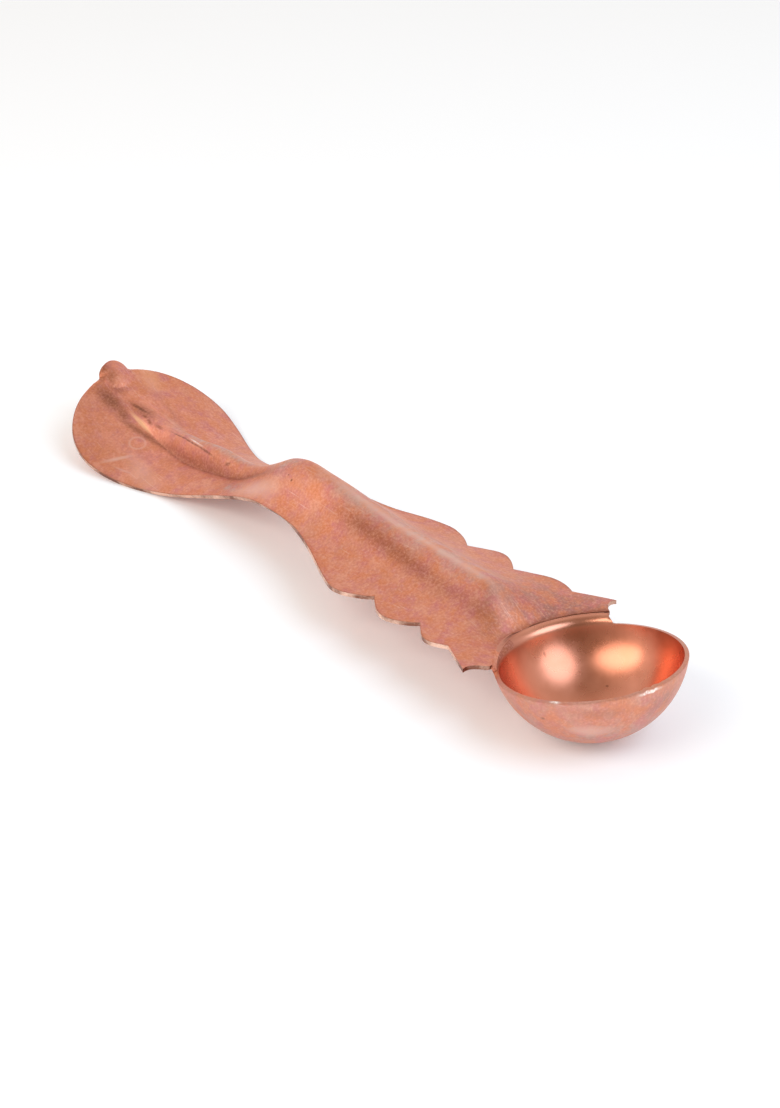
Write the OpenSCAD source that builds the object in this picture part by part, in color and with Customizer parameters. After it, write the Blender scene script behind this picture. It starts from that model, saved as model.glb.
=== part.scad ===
// Ritual water spoon of copper sheet: a round bowl with a flared lip, a stamped handle
// with scalloped edges and a ridge, and a braze seam that joins the two along the lip.
// Lengths in millimetres. Z = 0 is the table, +X points to the front of the bowl.

/* [Sheet] */
// Thickness of the copper sheet
sheet = 0.7; // [0.5:0.05:0.9]

/* [Bowl] */
// Outside diameter at the bowl's rim
bowl_d = 30.4; // [26:0.2:36]
// Depth from the rim to the outside of the bottom
bowl_depth = 12.2; // [10:0.2:14]
// Tilt of the rim, front edge up
bowl_tilt = 12; // [9:0.5:14]
// Diameter of the worn flat on which the bowl stands
stand_d = 4; // [2:0.2:6]
// Middle radius of the lip's outward bend
lip_bend = 1.5; // [1.2:0.1:2]
// Angle to either side of the handle over which the lip runs
lip_reach = 53; // [46:1:58]

/* [Seam] */
// Width of the braze line between lip and handle
seam_gap = 0.3; // [0.2:0.05:0.5]

/* [Blade] */
// Length from the lip to the first pair of notches
root_len = 2.6; // [2:0.2:5]
// Length of the lobe next to the bowl
lobe_a_len = 10.2; // [8:0.2:13]
// Length of the second lobe
lobe_b_len = 11.8; // [9:0.2:14]
// Length from the last notch to the shoulder's widest place
shoulder_len = 7.2; // [5:0.2:10]
// Width across the horns
horn_w = 32.6; // [31:0.2:38]
// Distance that the horns reach forward, past the back of the seam
horn_len = 4.6; // [3:0.1:6]
// Width across the lobes
blade_w = 28.4; // [27:0.2:32]
// Depth of the notches between the lobes
notch_depth = 3; // [1:0.1:3.4]
// Lead of the notches on the right edge, lag of those on the left
notch_lead = 1.5; // [0:0.1:2.5]
// Distance by which the blank sits off the ridge, to the right
blank_shift = 0.6; // [0:0.1:1]
// Height of the edge at the horns
horn_z = 11.3; // [10:0.1:13]
// Height of the edge at the shoulder
shoulder_z = 8.8; // [7:0.1:11]
// Height of the ridge above the edge at the bowl's end
ridge_h = 4.7; // [3:0.1:6]
// Distance from the crest at which the ridge has lost half its height
ridge_half = 6; // [4:0.2:8]

/* [Neck] */
// Length from the shoulder to the neck's narrowest place
neck_len = 23.6; // [18:0.2:32]
// Width of the neck
neck_w = 15; // [13:0.2:19]
// Height of the edge at the neck
neck_z = 9.4; // [8:0.1:11]
// Extra height of the hump on the neck
hump_h = 2.3; // [1:0.1:3]

/* [Hood] */
// Length from the neck to the line on which the hood rests
slope_len = 37.4; // [30:0.2:46]
// Diameter of the hood
hood_d = 31.4; // [28:0.2:36]
// Length from the rest line to the hood's centre
hood_lead = 12; // [9:0.2:14]
// Radius to which the hood curls up
curl_r = 39; // [30:1:50]
// Crown of the hood between edge and spine
crown_h = 2.5; // [1:0.1:3]
// Height of the spine above the crown
spine_h = 4; // [2:0.1:5]
// Width of the spine at its foot, where it is widest
spine_w = 5.4; // [4:0.2:8]
// Diameter of the knob at the tip
knob_d = 6.2; // [4:0.2:7]
// Rise of the knob's dome
knob_h = 0.6; // [0.3:0.1:1.2]

/* [Hidden] */
copper = [0.80, 0.47, 0.35];
braze = [0.45, 0.29, 0.20];
$fn = 96;

// Bowl: a ball shell cut by the tilted rim plane, its lowest point on the table
rim_r = bowl_d / 2;
ball_r = (rim_r * rim_r + bowl_depth * bowl_depth) / (2 * bowl_depth);
ball_up = ball_r - bowl_depth;
stand_up = arc(ball_r, stand_d / 2);
rim_z = stand_up - ball_up * cos(bowl_tilt);
wall_lean = asin(ball_up / ball_r);

// Lip: the wall bends outwards and stops almost level
lip_stop = 80;
lip_tab = sheet * 0.7;
lip_mid_r = rim_r - sheet / 2 * cos(wall_lean);
lip_start_z = sheet / 2 * sin(wall_lean);
lip_axis_r = lip_mid_r + lip_bend * cos(wall_lean);
lip_axis_z = lip_start_z - lip_bend * sin(wall_lean);
lip_end_r = lip_axis_r - lip_bend * cos(lip_stop);
lip_end_z = lip_axis_z + lip_bend * sin(lip_stop);
joint_play = 0.02;
joint_r = lip_end_r + (seam_gap + joint_play) * sin(lip_stop);
joint_z = lip_end_z + (seam_gap + joint_play) * cos(lip_stop);

// The handle's path runs from the bowl's centre towards the tip
joint_at = joint_r * cos(bowl_tilt) + joint_z * sin(bowl_tilt);
notch_a = joint_at + root_len;
notch_b = notch_a + lobe_a_len;
notch_c = notch_b + lobe_b_len;
shoulder = notch_c + shoulder_len;
neck = shoulder + neck_len;
rest = neck + slope_len;
hood_mid = rest + hood_lead;
hood_r = hood_d / 2;
hood_end = hood_mid + hood_r;
knob_r = knob_d / 2;
knob_mid = hood_end - knob_r * 0.24;
tip = knob_mid + knob_r * 0.995;

// Places between the main ones, as shares of the lengths that they lie in
drop_from = neck + slope_len * 0.14;
hood_from = neck + slope_len * 0.32;
ridge_stop = neck + slope_len * 0.57;
spine_from = neck + slope_len * 0.16;
spine_full = rest - slope_len * 0.16;
crown_from = neck + slope_len * 0.22;
crown_full = rest - slope_len * 0.22;
ridge_full = notch_a + lobe_a_len * 0.6;
hump_full = neck - neck_len * 0.1;
spine_stop = hood_end - knob_r;
skew_stop = neck - neck_len * 0.34;

function mix(a, b, k) = a + (b - a) * k;
function part_of(a, b, t) = max(0, min(1, (t - a) / (b - a)));
function ease(k) = k * k * (3 - 2 * k);
function rise(a, b, t) = ease(part_of(a, b, t));
function skew(a, b, t, p) = ease(pow(part_of(a, b, t), p));
function arc(r, d) = sqrt(max(0, r * r - d * d));

// Half width of the blank at a place on the path
lobe_half = blade_w / 2;
notch_half = lobe_half - notch_depth;
root_half = lobe_half - notch_depth / 3;
function lobe(a, b, wa, wb, t) =
    let (k = part_of(a, b, t), base = mix(wa, wb, k))
    base + (lobe_half - (wa + wb) / 2) * sin(180 * k);
function half_width(t) =
    t < notch_b ? lobe(notch_a, notch_b, root_half, notch_half, t) :
    t < notch_c ? lobe(notch_b, notch_c, notch_half, notch_half, t) :
    t < shoulder ? mix(notch_half, lobe_half, sin(90 * part_of(notch_c, shoulder, t))) :
    t < neck ? mix(lobe_half, neck_w / 2, skew(shoulder, neck, t, 0.78)) :
    t < hood_mid ? mix(neck_w / 2, hood_r, 0.06 * rise(neck, hood_from, t)
        + 0.94 * skew(hood_from, hood_mid, t, 1.4)) :
    max(arc(hood_r, t - hood_mid), arc(knob_r, t - knob_mid));

// Half width that the pressed form follows: the lobes and the knob's round end are cut out of it
form_in = notch_depth / 2;
function form_half(t) = t < shoulder ? lobe_half - form_in :
    max(knob_r, half_width(t) - form_in * (1 - rise(shoulder, neck, t)));

// Height of the edge, level with the table at the rest line
rest_z = sheet / 2;
function edge_z(t) =
    t < shoulder ? mix(horn_z, shoulder_z, pow(part_of(0, shoulder, t), 1.5)) :
    mix(mix(shoulder_z, neck_z, rise(shoulder, neck, t)), rest_z, skew(drop_from, rest, t, 0.82));

// Height of the ridge on the blade and neck, and of crown and spine on the hood
function ridge(t) =
    (ridge_h * ramp(part_of(joint_at, ridge_full, t)) + hump_h * rise(joint_at, hump_full, t))
    * (1 - rise(neck, ridge_stop, t));
function crown(t) =
    crown_h * rise(crown_from, crown_full, t) * (1 - 0.7 * rise(hood_mid, hood_end, t));
function spine(t) =
    spine_h * rise(spine_from, spine_full, t) * (1 - rise(spine_full, spine_stop, t));
function spine_half(t) = spine_w / 2 * mix(0.75, 1, rise(spine_from, spine_full, t));
function ramp(k) = mix(k, sin(90 * k), 0.6);
function bell(y) = 1 / (1 + y * y / (ridge_half * ridge_half));
function roof(y, half) = max(0, bell(y) - bell(half)) / (1 - bell(half));
function round_back(p) = let (c = cos(90 * pow(p, 1.5))) c * c;
function bump(t, y) =
    let (d = sqrt((t - knob_mid) * (t - knob_mid) + y * y) / knob_r)
    d < 1 ? knob_h * (1 - d * d) : 0;
function height(t, y) =
    let (q = min(1, abs(y) / form_half(t)), p = min(1, abs(y) / spine_half(t)))
    (ridge(t) - dip(t)) * roof(y, form_half(t)) + crown(t) * (1 - q * q)
    + spine(t) * round_back(p) + bump(t, y);

// In the middle of its end the sheet comes down to the lip
function tilted(x, y, z) =
    [x * cos(bowl_tilt) - z * sin(bowl_tilt), y, rim_z + x * sin(bowl_tilt) + z * cos(bowl_tilt)];
function on_lip(a) = tilted(-joint_r * cos(a), joint_r * sin(a), joint_z);
lip_dip = edge_z(joint_at) - on_lip(0)[2];
function dip(t) = lip_dip * (1 - part_of(joint_at, ridge_full, t));

// Middle of the sheet at a place on the path and a place across it
function on_path(t, y) =
    let (turn = max(0, t - rest) / curl_r * 180 / PI, h = height(t, y))
    [-(min(t, rest) + curl_r * sin(turn) - h * sin(turn)), y,
     edge_z(t) + curl_r * (1 - cos(turn)) + h * cos(turn)];

// Columns across the sheet: the inner ones end on the lip, the outer ones on the horns
inner_cols = 10;
outer_cols = 2;
side = inner_cols + outer_cols;
lip_share = joint_r * sin(lip_reach) / (horn_w / 2);
function across(j) =
    let (n = abs(j), k = n / inner_cols, s = sign(j))
    n <= inner_cols ? s * lip_share * mix(k, k * k * k, 0.3) :
    s * mix(lip_share, 1, (n - inner_cols) / outer_cols);

// The handle's end: the lip's arc, then the forward edge of each horn
horn_at = joint_at - horn_len;
horn_bow = horn_len * 0.22;
function joint_point(j) =
    let (n = abs(j), v = abs(across(j)), k = max(0, (n - inner_cols) / outer_cols), s = sign(j),
         e = on_lip(s * lip_reach), h = [-horn_at, s * horn_w / 2, horn_z])
    n <= inner_cols ? on_lip(sign(j) * asin(min(1, v * horn_w / 2 / joint_r))) :
    mix(e, h, k) - [4 * horn_bow * k * (1 - k), 0, 0];

// Rows along the path, closer where the outline turns fast
function steps(a, b, n) = [for (i = [1 : n]) mix(a, b, i / n)];
function slowing(a, b, n) = [for (i = [1 : n]) mix(a, b, sin(90 * i / n))];
root_rows = 7;
path_rows = concat(
    [for (i = [1 : 12]) mix(notch_a, notch_b, (1 - cos(180 * i / 12)) / 2)],
    [for (i = [1 : 12]) mix(notch_b, notch_c, (1 - cos(180 * i / 12)) / 2)],
    [for (i = [1 : 6]) mix(notch_c, shoulder, 1 - cos(90 * i / 6))],
    steps(shoulder, neck, 10),
    steps(neck, rest, 14),
    steps(rest, hood_mid, 5),
    slowing(hood_mid, knob_mid - knob_r * 0.15, 12),
    slowing(knob_mid - knob_r * 0.15, tip, 6));
function lead(t) = notch_lead * rise(notch_a, notch_b, t) * (1 - rise(shoulder, skew_stop, t));
function shift(t) = blank_shift
    * (rise(notch_a, notch_b, t) * (1 - rise(shoulder, skew_stop, t)) + 0.3 * rise(rest, hood_mid, t));
function root_point(i, j) =
    let (k = i / root_rows, a = joint_point(j), t = mix(-a[0], notch_a, k),
         y = mix(a[1], across(j) * root_half, k), off = a[2] - on_path(-a[0], a[1])[2])
    [-t, y, on_path(t, y)[2] + off * (1 - ease(k))];
skin = concat(
    [for (i = [0 : root_rows]) [for (j = [-side : side]) root_point(i, j)]],
    [for (t = path_rows) [for (j = [-side : side])
        on_path(t + across(j) * lead(t), across(j) * half_width(t) - shift(t))]]);
last_row = len(skin) - 1;
last_col = 2 * side;

function lip_facing(j) =
    let (a = sign(j) * asin(min(1, abs(across(j)) * horn_w / 2 / joint_r)))
    tilted(cos(lip_stop) * cos(a), -cos(lip_stop) * sin(a), sin(lip_stop)) - [0, 0, rim_z];
function facing(i, j) =
    i == 0 && abs(j - side) <= inner_cols ? lip_facing(j - side) :
    let (u = skin[min(i + 1, last_row)][j] - skin[max(i - 1, 0)][j],
         v = skin[i][min(j + 1, last_col)] - skin[i][max(j - 1, 0)],
         n = cross(v, u))
    n / norm(n);
function shifted(d) =
    [for (i = [0 : last_row]) for (j = [0 : last_col]) skin[i][j] + d * facing(i, j)];

// The part is centred on its own length
front = rim_r * cos(bowl_tilt);
back = -min([for (p = concat(shifted(sheet / 2), shifted(-sheet / 2))) p[0]]);
bowl_x = (back - front) / 2;

// One sheet between two copies of the skin, closed round its edge
module pressed_sheet() {
    cols = last_col + 1;
    count = (last_row + 1) * cols;
    function at(i, j) = i * cols + j;
    rim = concat(
        [for (j = [0 : last_col]) at(0, j)],
        [for (i = [1 : last_row]) at(i, last_col)],
        [for (j = [last_col - 1 : -1 : 0]) at(last_row, j)],
        [for (i = [last_row - 1 : -1 : 1]) at(i, 0)]);
    quads = [for (i = [0 : last_row - 1]) for (j = [0 : last_col - 1])
        [at(i, j), at(i + 1, j), at(i + 1, j + 1), at(i, j + 1)]];
    polyhedron(
        points = concat(shifted(sheet / 2), shifted(-sheet / 2)),
        faces = concat(
            [for (q = quads) each [[q[0], q[1], q[2]], [q[0], q[2], q[3]]]],
            [for (q = quads) each [[q[2] + count, q[1] + count, q[0] + count],
                                   [q[3] + count, q[2] + count, q[0] + count]]],
            [for (i = [0 : len(rim) - 1])
                let (a = rim[i], b = rim[(i + 1) % len(rim)])
                each [[a, b, b + count], [a, b + count, a + count]]]));
}

// Places a child drawn in the rim's frame into the part
module in_rim_frame() {
    translate([bowl_x, 0, rim_z])
        rotate([0, -bowl_tilt, 0])
            children();
}

// A turned piece that covers the lip's angle on the handle side
module lip_sweep() {
    rotate([0, 0, 180 - lip_reach])
        rotate_extrude(angle = 2 * lip_reach)
            children();
}

module lip_section() {
    steps_n = 12;
    function on_bend(r, i) =
        let (a = mix(wall_lean, lip_stop, i / steps_n))
        [lip_axis_r - r * cos(a), lip_axis_z + r * sin(a)];
    polygon(concat(
        [[arc(ball_r, ball_up + lip_tab) - sheet / 4, -lip_tab]],
        [for (i = [0 : steps_n]) on_bend(lip_bend - sheet / 2, i)],
        [for (i = [steps_n : -1 : 0]) on_bend(lip_bend + sheet / 2, i)],
        [[arc(ball_r, ball_up + lip_tab) - sheet * 3 / 4, -lip_tab]]));
}

module wall_section() {
    steps_n = 28;
    function on_ball(r, i) =
        let (a = i / steps_n * acos(ball_up / r))
        [r * sin(a), ball_up - r * cos(a)];
    polygon(concat(
        [for (i = [0 : steps_n]) on_ball(ball_r, i)],
        [for (i = [steps_n : -1 : 0]) on_ball(ball_r - sheet, i)]));
}

module bowl() {
    color(copper) {
        difference() {
            in_rim_frame()
                rotate_extrude()
                    wall_section();
            translate([bowl_x, 0, -ball_r])
                cube(2 * ball_r, center = true);
        }
        in_rim_frame()
            lip_sweep()
                lip_section();
    }
}

module handle() {
    color(copper)
        translate([bowl_x, 0, 0])
            pressed_sheet();
}

module braze_seam() {
    color(braze)
        in_rim_frame()
            lip_sweep()
                translate([lip_end_r, lip_end_z])
                    rotate(90 - lip_stop)
                        translate([0, -sheet / 2])
                            square([seam_gap, sheet]);
}

bowl();
handle();
braze_seam();
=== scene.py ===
import math

import bpy
from mathutils import Matrix, Quaternion, Vector


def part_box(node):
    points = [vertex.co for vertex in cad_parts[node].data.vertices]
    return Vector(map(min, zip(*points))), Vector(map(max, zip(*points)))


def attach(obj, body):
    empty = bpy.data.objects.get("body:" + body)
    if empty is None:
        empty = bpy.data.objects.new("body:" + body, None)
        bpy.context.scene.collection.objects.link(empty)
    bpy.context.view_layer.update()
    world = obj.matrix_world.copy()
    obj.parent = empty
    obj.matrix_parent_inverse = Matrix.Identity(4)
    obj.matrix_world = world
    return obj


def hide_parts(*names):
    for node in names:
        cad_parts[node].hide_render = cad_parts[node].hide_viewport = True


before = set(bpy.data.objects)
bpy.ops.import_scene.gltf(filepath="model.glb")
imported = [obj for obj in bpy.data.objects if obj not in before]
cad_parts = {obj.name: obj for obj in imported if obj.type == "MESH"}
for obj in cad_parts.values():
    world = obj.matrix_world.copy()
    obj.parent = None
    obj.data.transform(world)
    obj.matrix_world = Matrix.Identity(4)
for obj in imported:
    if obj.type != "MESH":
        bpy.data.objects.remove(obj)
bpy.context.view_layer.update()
print("frame loaded:", ", ".join(sorted(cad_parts)))

mm = 0.001  # the sizes below are in millimetres, as in the part's source
sheetThick = 0.7


def mix(a, b, k):
    return a + (b - a) * k


def partOf(a, b, t):
    return max(0.0, min(1.0, (t - a) / (b - a)))


def rise(a, b, t, power=1.0):
    k = partOf(a, b, t) ** power
    return k * k * (3 - 2 * k)


def fade(distance, wide):
    return math.exp(-(distance / wide) ** 2)


def arc(r, d):
    return math.sqrt(max(0.0, r * r - d * d))


def sine(degrees):
    return math.sin(math.radians(degrees))


def cosine(degrees):
    return math.cos(math.radians(degrees))


# bowl sizes, and the rim plane that the lip, seam and handle all start from
bowl = {
    "rimAcross": 30.4,
    "depth": 12.2,
    "tilt": 12.0,
    "standAcross": 4.0,
    "lipBend": 1.5,      # middle radius of the outward bend
    "lipStop": 80.0,     # the bend ends almost level
    "lipLow": 42.0,      # but was closed up again at the spoon's right
    "lipLowBy": 50.0,    # degrees from the handle's middle where it is closed up most
    "lipFull": 51.0,     # degrees from the handle's middle with the whole lip
    "lipGone": 56.0,     # and where it has died away into the rim
    "lipSteps": 8,
    "knock": -174.0,     # degrees, where the rim was knocked in
    "knockWide": 9.0,
    "knockDeep": 0.35,
    "knockTall": 1.8,    # mm of the wall that it reaches down
    "knockEven": 0.7,    # even share of the knock, and the ripples it left
    "knockRipple": 0.5,
    "ripplePitch": 0.9,  # radians in a degree round the rim
    "segments": 180,
    "rings": 120,
    "mergeWithin": 0.002,  # mm between points that become one
}
rimR = bowl["rimAcross"] / 2
ballR = (rimR ** 2 + bowl["depth"] ** 2) / (2 * bowl["depth"])
ballUp = ballR - bowl["depth"]
rimZ = arc(ballR, bowl["standAcross"] / 2) - ballUp * cosine(bowl["tilt"])
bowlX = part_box("bowl")[1].x / mm - rimR * cosine(bowl["tilt"])
wallLean = math.degrees(math.asin(ballUp / ballR))
lipR = bowl["lipBend"] - sheetThick / 2
lipAxisR = rimR + lipR * cosine(wallLean)
lipAxisZ = -lipR * sine(wallLean)


def lipBendAt(angle):
    return mix(bowl["lipStop"], bowl["lipLow"], rise(0, bowl["lipLowBy"], -angle))


def pastLip(angle, along=0.0, lift=0.0):
    # radius and height of a place beyond the lip's end, and above or below its middle
    bend = lipBendAt(angle)
    c, s = cosine(bend), sine(bend)
    return (lipAxisR - bowl["lipBend"] * c + along * s - lift * c,
            lipAxisZ + bowl["lipBend"] * s + along * c + lift * s)


def inRimFrame(x, y, z):
    c, s = cosine(bowl["tilt"]), sine(bowl["tilt"])
    return Vector((bowlX + x * c - z * s, y, rimZ + x * s + z * c))


def rimPlace(point):
    # height above the rim plane, and angle from the handle's middle about the rim's axis
    d = point / mm - Vector((bowlX, 0, rimZ))
    c, s = cosine(bowl["tilt"]), sine(bowl["tilt"])
    x, z = d.x * c + d.z * s, -d.x * s + d.z * c
    return z, math.degrees(math.atan2(d.y, -x))


# the camera stands where the photograph was taken from
shot = {
    "fromRim": (242.3, -234.8, 217.7),
    "right": (0.6261, 0.7797, 0.0001),
    "up": (-0.3961, 0.3180, 0.8614),
    "lens": 83.52,
    "sensor": 36.0,
    "clip": (0.01, 50.0),
}
right, up = Vector(shot["right"]).normalized(), Vector(shot["up"]).normalized()
back = right.cross(up).normalized()
up = back.cross(right)
bpy.ops.object.camera_add()
camera = bpy.context.object
camera.data.lens = shot["lens"]
camera.data.sensor_width = shot["sensor"]
camera.data.clip_start, camera.data.clip_end = shot["clip"]
stand = (Vector(shot["fromRim"]) + inRimFrame(0, 0, 0)) * mm
turn = Matrix((right, up, back)).transposed().to_4x4()
camera.matrix_world = Matrix.Translation(stand) @ turn
bpy.context.scene.camera = camera
print("camera set")


# materials
def linear(hexColour):
    parts = [int(hexColour[i:i + 2], 16) / 255 for i in (1, 3, 5)]
    return [c / 12.92 if c <= 0.04045 else ((c + 0.055) / 1.055) ** 2.4 for c in parts] + [1.0]


def addNode(tree, kind, settings=None, links=None):
    node = tree.nodes.new("ShaderNode" + kind)
    for key, value in (settings or {}).items():
        if key == "stops":
            elements = node.color_ramp.elements
            while len(elements) < len(value):
                elements.new(1.0)
            for element, (place, colour) in zip(elements, value):
                element.position, element.color = place, colour
        elif isinstance(key, str) and hasattr(node, key):
            setattr(node, key, value)
        else:
            node.inputs[key].default_value = value
    for key, source in (links or {}).items():
        tree.links.new(source, node.inputs[key])
    return node


def newMaterial(name):
    material = bpy.data.materials.new(name)
    material.use_nodes = True
    material.node_tree.nodes.clear()
    return material, material.node_tree


through = 999  # half height in mm of a mark that goes right through the sheet


def spindle(tree, place, at, half, turned, strength):
    # how strongly a spindle-shaped mark shows at a point
    spot = addNode(tree, "Mapping", {
        "vector_type": "TEXTURE", "Location": Vector(at) * mm,
        "Rotation": (0, 0, math.radians(turned)), "Scale": Vector(half) * mm,
    }, {"Vector": place}).outputs["Vector"]
    spot = addNode(tree, "VectorMath", {"operation": "LENGTH"}, {0: spot}).outputs["Value"]
    return addNode(tree, "MapRange", {
        "interpolation_type": "SMOOTHSTEP", "From Min": 0.1, "From Max": 1.0,
        "To Min": strength, "To Max": 0.0,
    }, {"Value": spot}).outputs[0]


def dropRing(tree, place, x, y, size, wide, strength):
    # how strongly a dried ring shows at a point
    ring = addNode(tree, "Mapping", {
        "vector_type": "TEXTURE", "Location": Vector((x, y, 0)) * mm,
        "Scale": (mm, mm, 1e6),  # so large that height plays no part
    }, {"Vector": place}).outputs["Vector"]
    ring = addNode(tree, "VectorMath", {"operation": "LENGTH"}, {0: ring}).outputs["Value"]
    ring = addNode(tree, "Math", {"operation": "SUBTRACT", 1: size}, {0: ring}).outputs[0]
    ring = addNode(tree, "Math", {"operation": "ABSOLUTE"}, {0: ring}).outputs[0]
    return addNode(tree, "MapRange", {
        "interpolation_type": "SMOOTHSTEP", "From Min": 0.0, "From Max": wide,
        "To Min": strength, "To Max": 0.0,
    }, {"Value": ring}).outputs[0]


# Copper sheet, pressed and pickled: a matte salmon skin with cloudy tints,
# paler where handling has rubbed it, brown where oxide stayed in the hollows,
# with painted highlights, painted reflections and painted shade laid into its colour
satin = {
    "deep": "#CC8467",
    "middle": "#DD9579",
    "pale": "#E6A78F",
    "pink": "#CE7F7B",
    "orange": "#DA8860",
    # pale tint for rubbed wear, also a painted sheen on the crest and painted light on the hood and
    # spine
    "rubbed": "#F0C6B6",
    # painted highlight
    "glint": "#FABF96",
    # heat tint with painted shade by the braze; on the bowl's foot a painted floor reflection
    "mauve": "#A97870",
    # painted light, lifting the hood and knob where the room leaves them dark
    "blush": "#EC977C",
    # pale tint: painted sheen on the crest and spine, and a painted floor reflection on the bowl's
    # foot
    "ash": "#C9A599",
    "burr": "#FFF0E6",
    "fleck": "#B66E58",
    "spark": "#EDBBA6",
    # brown dirt and oxide, also painted shade and a painted dark reflection band
    "dirt": "#9A5A42",
    "oxide": "#6B3F2E",
    "scratch": "#F2CDBF",
    "cloud": 8.0,         # mm across a tint
    "tint": 3.2,          # mm across a bloom
    "grain": 0.45,        # mm, coarser than the real etched grain so that it shows
    "grainDeep": 0.03,
    "scratchWide": 0.22,
    "scratchLong": 6.0,
    "scratchPatch": 9.0,  # mm across a scratched patch
    "scratchShow": 0.35,
    "scratchCut": 0.6,    # depth of a scratch, as a share of the grain's
    "rough": (0.42, 0.56),
    # broad tints lie under the blooms and grain, small marks over them;
    # the number is how far the grain breaks up their edges
    "broad": {"blush": 0.1, "ash": 0.15, "mauve": 0.15},
    "small": {"dirt": 0.3, "oxide": 0.5, "rubbed": 0.3, "glint": 0.2, "burr": 0.9},
    # marks on the handle: x, y, half length, half width in mm, turn in degrees, tint, strength
    "marks": [
        # oxide by the knob and on the spine, with a painted highlight on the fold beside it
        (-68.4, -4.3, 5.4, 2.8, 8, "dirt", 0.6), (-68.8, -4.2, 4.4, 2.0, 8, "oxide", 0.3),
        (-64.6, -4.1, 3.8, 1.7, -14, "dirt", 0.7), (-62.6, -0.6, 5.0, 2.2, 8, "dirt", 0.6),
        (-63.9, -0.85, 4.0, 0.8, 11, "dirt", 1.0), (-63.4, -0.8, 3.0, 0.4, 11, "oxide", 0.4),
        (-61.5, -1.4, 1.4, 0.5, 14, "dirt", 0.9), (-59.6, -1.6, 1.5, 0.45, -6, "dirt", 0.8),
        (-57.0, -1.3, 1.8, 0.4, 5, "dirt", 0.7), (-61.2, -2.6, 4.4, 0.65, 0, "glint", 1.2),
        # painted light along the rest of the spine: a pale bloom that brightens its top and the
        # flank that reflects the dark room, and hairlines
        (-43.2, 0.5, 19.0, 1.9, -1, "ash", 0.9), (-32.5, 0.9, 9.0, 2.2, 0, "ash", 1.6),
        (-45.6, -0.72, 3.6, 0.22, -6, "burr", 0.55), (-50.2, -0.87, 4.4, 0.2, 0, "oxide", 0.6),
        (-46.2, -1.05, 4.4, 0.2, -3, "oxide", 0.65), (-42.0, -1.34, 4.4, 0.2, -5, "oxide", 0.6),
        (-34.4, -1.57, 1.0, 0.28, 8, "oxide", 0.6), (-32.0, 0.9, 6.0, 1.3, 0, "rubbed", 0.4),
        (-57.0, 2.9, 7.0, 1.4, 4, "rubbed", 0.35), (-39.0, -2.1, 11.0, 1.6, 0, "dirt", 0.1),
        # the knob, painted lighter and redder, and duller round its foot, where painted shade damps
        # a highlight; a faint painted glint on the hood beside it
        (-73.4, -0.6, 3.6, 3.6, 0, "blush", 0.6), (-71.1, -1.4, 3.2, 2.2, 0, "dirt", 0.5),
        (-74.2, -2.5, 2.2, 1.8, -30, "dirt", 0.75), (-70.2, 6.0, 6.0, 3.4, -20, "glint", 0.3),
        # the hood, painted lighter and redder as light where it faces the dark room, and rubbed in
        # streaks
        (-57.0, -2.0, 26.0, 20.0, 0, "blush", 0.8), (-50.2, -10.0, 10.0, 3.6, -12, "rubbed", 0.3),
        (-54.0, -4.0, 26.0, 18.0, 0, "rubbed", 0.06), (-56.2, -11.0, 5.0, 0.7, 64, "rubbed", 0.55),
        (-53.2, -12.0, 4.0, 0.4, 20, "rubbed", 0.35),
        # neck
        (-16.7, -1.2, 6.5, 2.8, 0, "ash", 1.1), (-19.8, -5.8, 8.0, 2.8, 5, "rubbed", 0.5),
        (-28.0, -5.6, 5.5, 2.2, 0, "ash", 1.1), (-12.7, -3.3, 0.3, 0.26, 0, "oxide", 0.7),
        (-14.1, -2.9, 0.22, 0.18, 0, "oxide", 0.6),
    ],
    # marks on the bowl: x, y, z, half length, half width, half height, turn, tint, strength
    "bowlMarks": [
        (64.6, -13.6, 9.6, 0.6, 0.6, 0.5, 10, "oxide", 0.5),
        (70.4, -9.2, 8.2, 6.0, 3.0, 2.8, 48, "rubbed", 0.5),
        (72.2, -9.0, 12.4, 7.0, 2.0, 1.6, 52, "dirt", 0.3),
        (74.8, 1.0, 11.5, 7.0, 3.0, 4.0, 86, "mauve", 0.75),
        # bright burrs on the knocked rim, also standing in as painted glints
        (67.3, -13.1, 13.5, 2.0, 0.5, 0.35, 27, "burr", 0.8),
        (75.2, -1.5, 14.9, 3.0, 0.7, 0.45, 83, "burr", 1.1),
    ],
    # a ring left by a drop: x, y, radius, half width, strength
    "ring": (-57.2, -6.1, 1.5, 0.45, 0.35),
}


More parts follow.
